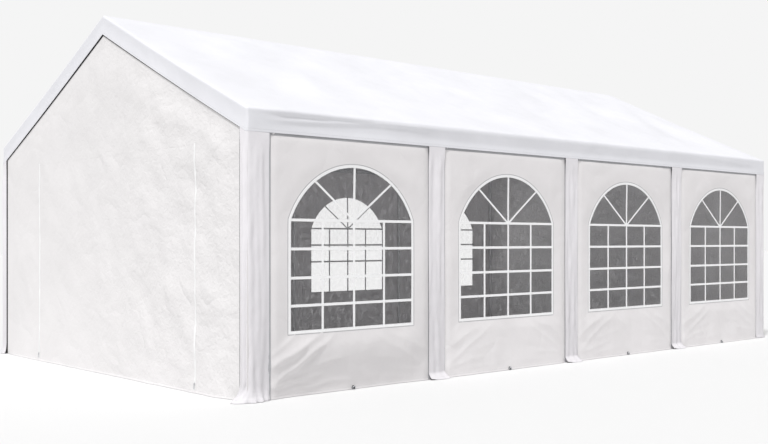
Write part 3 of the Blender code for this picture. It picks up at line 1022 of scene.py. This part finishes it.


# Gable shade lines. Black strips on each gable wall, just inside the line of the valance and of
# the corner sleeves: painted shade, a dark sheet standing in for the shadowed gap behind them.
gable_gap_shade = webbing_and_shade_line("gable_gap_shade", (0.012, 0.012, 0.013))
shade_line_x = half_width - corner_gable_width
shade_line_hidden = 0.034
shade_line_shown = 0.0165
rake_slope = (rake_hem_apex_z - valance_z) / half_width
for end, quarters, seed in (("front", 0, 41.0), ("back", 2, 57.0)):
    inner = shade_line_x - shade_line_shown
    outer = shade_line_x + shade_line_hidden
    inner_drop, outer_rise = 0.0147, 0.024
    inner_line = [(-inner, 0.004), (-inner, rake_hem_apex_z - inner * rake_slope - inner_drop),
                  (0.0, rake_hem_apex_z - inner_drop),
                  (inner, rake_hem_apex_z - inner * rake_slope - inner_drop), (inner, 0.004)]
    outer_line = [(-outer, 0.004), (-outer, rake_hem_apex_z - outer * rake_slope + outer_rise),
                  (0.0, rake_hem_apex_z + outer_rise),
                  (outer, rake_hem_apex_z - outer * rake_slope + outer_rise), (outer, 0.004)]
    cloth = flat_cloth(grid_lines([0.0, 1.0, 2.0, 3.0, 4.0], 0.025), [0.0, 0.5, 1.0])
    for point in cloth.verts:
        leg = min(3, int(point.co.x))
        part = point.co.x - leg
        side_in = Vector(inner_line[leg]).lerp(Vector(inner_line[leg + 1]), part)
        side_out = Vector(outer_line[leg]).lerp(Vector(outer_line[leg + 1]), part)
        spot = side_in.lerp(side_out, point.co.y)
        sag = 0.010 * sin(pi * (1 - abs(spot.x) / half_width)) if leg in (1, 2) else 0.0
        point.co = (spot.x, spot.y - sag, 0.0)
    threads = cloth.loops.layers.uv.new("cloth")
    for face in cloth.faces:
        for loop in face.loops:
            loop[threads].uv = (loop.vert.co.x, loop.vert.co.y)
    for point in cloth.verts:
        out = wall_out + wall_rise(point.co.x, point.co.y, seed) + 0.0008
        point.co = face_out(point.co.x, out, point.co.y, quarters)
    sew(f"gable_shade_line_{end}", cloth, gable_gap_shade, 0.0007)


def fit_metal(name, solid, surface):
    """Makes a small metal fitting into a piece of the tent."""
    solid.normal_update()
    bmesh.ops.recalc_face_normals(solid, faces=solid.faces)
    mesh = bpy.data.meshes.new(name)
    solid.to_mesh(mesh)
    solid.free()
    mesh.materials.append(surface)
    mesh.shade_smooth()
    mesh.set_sharp_from_angle(angle=radians(40))
    piece = bpy.data.objects.new(name, mesh)
    scene.collection.objects.link(piece)
    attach(piece, "root")
    return piece


# Door zips. A white nylon coil on a sewn white tape down each side of the doorway, with the slider
# run to the bottom and its pull hanging.
zip_white = webbing_and_shade_line("zip_white", (0.70, 0.70, 0.70))
zip_half = 0.013
for end, quarters, seed in (("front", 0, 41.0), ("back", 2, 57.0)):
    for number, centre in enumerate((door_left, door_right), start=1):
        cloth = flat_cloth([centre - zip_half, centre - 0.004, centre - 0.002, centre + 0.002, centre + 0.004,
                            centre + zip_half], grid_lines([0.02, door_top_z + 0.012], 0.04))
        threads = cloth.loops.layers.uv.new("cloth")
        for face in cloth.faces:
            for loop in face.loops:
                loop[threads].uv = (loop.vert.co.x, loop.vert.co.y)
        for point in cloth.verts:
            across, up = point.co.x, point.co.y
            coil = 0.0040 if abs(across - centre) < 0.0025 else 0.0012
            out = wall_out + wall_rise(across, up, seed) + coil
            point.co = face_out(across, out, up, quarters)
        sew(f"door_zip_{end}_{number}", cloth, zip_white, 0.0007)

        slider = bmesh.new()
        bmesh.ops.create_cube(slider, size=1.0)
        bmesh.ops.scale(slider, verts=slider.verts, vec=(0.016, 0.006, 0.022))
        for point in slider.verts:
            if point.co.z < 0:
                point.co.x *= 0.7
        bmesh.ops.bevel(slider, geom=slider.edges[:], offset=0.0018, offset_type="OFFSET", segments=2, profile=0.5,
                        affect="EDGES", material=-1)
        pull = bmesh.new()
        bmesh.ops.create_cube(pull, size=1.0)
        bmesh.ops.scale(pull, verts=pull.verts, vec=(0.009, 0.0018, 0.040))
        for point in pull.verts:
            if point.co.z < 0:
                point.co.x *= 1.5
        bmesh.ops.bevel(pull, geom=pull.edges[:], offset=0.0006, offset_type="OFFSET", segments=2, profile=0.5,
                        affect="EDGES", material=-1)
        bmesh.ops.translate(pull, verts=pull.verts, vec=(0.0, 0.0042, -0.021))
        loose = bpy.data.meshes.new("pull_part")
        pull.to_mesh(loose)
        pull.free()
        slider.from_mesh(loose)
        bpy.data.meshes.remove(loose)
        for point in slider.verts:
            across, up = centre + point.co.x, 0.075 + point.co.z
            out = wall_out + wall_rise(centre, 0.075, seed) + 0.0062 + point.co.y
            point.co = face_out(across, out, up, quarters)
        fit_metal(f"zip_slider_{end}_{number}", slider, zinc)


# Pegs. At the foot of each side panel, midway along, a steel peg hooks down through a loop of dark
# webbing sewn to the hem.
peg_webbing = webbing_and_shade_line("peg_webbing", (0.06, 0.06, 0.065))
peg_radius = 0.0035
hook_radius = 0.013
for side, number, quarters, centre, cuts, low, high, seed, drag in panel_facts:
    cloth = flat_cloth(grid_lines([-0.019, 0.019], 0.004), grid_lines([0.003, 0.034], 0.004))
    threads = cloth.loops.layers.uv.new("cloth")
    for face in cloth.faces:
        for loop in face.loops:
            loop[threads].uv = (loop.vert.co.x, loop.vert.co.y)
    for point in cloth.verts:
        rounded = (1 - min(1.0, point.co.y / 0.036) ** 2) ** 0.5
        across, up = centre + point.co.x * rounded, point.co.y
        out = panel_out + panel_rise(across, up, low, high, seed, drag) + 0.0022 + 0.006 * (1 - up / 0.034)
        point.co = face_out(across, out, up, quarters)
    sew(f"peg_loop_{side}_{number}", cloth, peg_webbing, 0.0015)

    peg = bmesh.new()
    ring = bmesh.ops.create_circle(peg, cap_ends=False, segments=8, radius=peg_radius)
    bmesh.ops.translate(peg, verts=peg.verts, vec=(hook_radius, 0.0, 0.0))
    turned = bmesh.ops.spin(peg, geom=peg.edges[:] + peg.verts[:], cent=(0.0, 0.0, 0.0), axis=(0.0, -1.0, 0.0),
                            angle=pi, steps=10, use_merge=False)
    ends = [edge for edge in peg.edges if edge.is_boundary]
    legs = bmesh.ops.extrude_edge_only(peg, edges=ends)
    feet = [part for part in legs["geom"] if isinstance(part, bmesh.types.BMVert)]
    bmesh.ops.translate(peg, verts=feet, vec=(0.0, 0.0, -0.0145))
    bmesh.ops.holes_fill(peg, edges=[edge for edge in peg.edges if edge.is_boundary], sides=0)
    bmesh.ops.recalc_face_normals(peg, faces=peg.faces)
    stand = panel_out + panel_rise(centre, 0.02, low, high, seed, drag) + 0.0145
    for point in peg.verts:
        point.co = face_out(centre + point.co.x, stand + point.co.y, 0.0155 + point.co.z, quarters)
    fit_metal(f"peg_{side}_{number}", peg, zinc)


# Floor, light and camera. A plain pale floor under soft white light from all round, with a broad
# key light high on the gable side.
bpy.ops.mesh.primitive_plane_add(size=160.0, location=(0.0, 20.0, -0.001))
floor = bpy.context.object
floor.name = "floor"
pale = bpy.data.materials.new("pale_floor")
pale.use_nodes = True
ground = pale.node_tree.nodes
lit_floor = ground["Principled BSDF"]
lit_floor.inputs["Base Color"].default_value = (0.78, 0.78, 0.78, 1.0)
lit_floor.inputs["Roughness"].default_value = 0.9
lit_floor.inputs["Specular IOR Level"].default_value = 0.0
shown_floor = ground.new("ShaderNodeBsdfDiffuse")
shown_floor.inputs["Color"].default_value = (0.69, 0.69, 0.69, 1.0)
looked_at = ground.new("ShaderNodeLightPath")
floor_mix = ground.new("ShaderNodeMixShader")
pale.node_tree.links.new(looked_at.outputs["Is Camera Ray"], floor_mix.inputs["Fac"])
pale.node_tree.links.new(lit_floor.outputs["BSDF"], floor_mix.inputs[1])
pale.node_tree.links.new(shown_floor.outputs["BSDF"], floor_mix.inputs[2])
pale.node_tree.links.new(floor_mix.outputs["Shader"], ground["Material Output"].inputs["Surface"])
floor.data.materials.append(pale)

sky = bpy.data.worlds.new("soft_sky")
scene.world = sky
sky.use_nodes = True
air = sky.node_tree.nodes
soft = air["Background"]
soft.inputs["Color"].default_value = (1.0, 1.0, 1.0, 1.0)
soft.inputs["Strength"].default_value = 0.53
backdrop = air.new("ShaderNodeBackground")
backdrop.inputs["Color"].default_value = (1.0, 1.0, 1.0, 1.0)
backdrop.inputs["Strength"].default_value = 0.913
seen = air.new("ShaderNodeLightPath")
either = air.new("ShaderNodeMixShader")
sky.node_tree.links.new(seen.outputs["Is Camera Ray"], either.inputs["Fac"])
sky.node_tree.links.new(soft.outputs["Background"], either.inputs[1])
sky.node_tree.links.new(backdrop.outputs["Background"], either.inputs[2])
sky.node_tree.links.new(either.outputs["Shader"], air["World Output"].inputs["Surface"])

sun = bpy.data.lights.new("key_light", "SUN")
sun.energy = 2.95
sun.angle = radians(8)
key = bpy.data.objects.new("key_light", sun)
key.rotation_euler = Vector((0.22, -0.42, 1.0)).to_track_quat("Z", "Y").to_euler()
scene.collection.objects.link(key)

lens = bpy.data.cameras.new("camera")
lens.lens = 48.375
lens.sensor_width = 36.0
lens.shift_x = -0.07396
lens.shift_y = 0.02417
lens.clip_end = 500.0
camera = bpy.data.objects.new("camera", lens)
camera.location = (9.414, -8.487, 1.281)
camera.rotation_euler = Euler((radians(90 - 0.031), 0.0, radians(46.379)))
scene.collection.objects.link(camera)
scene.camera = camera
scene.view_settings.view_transform = "Standard"
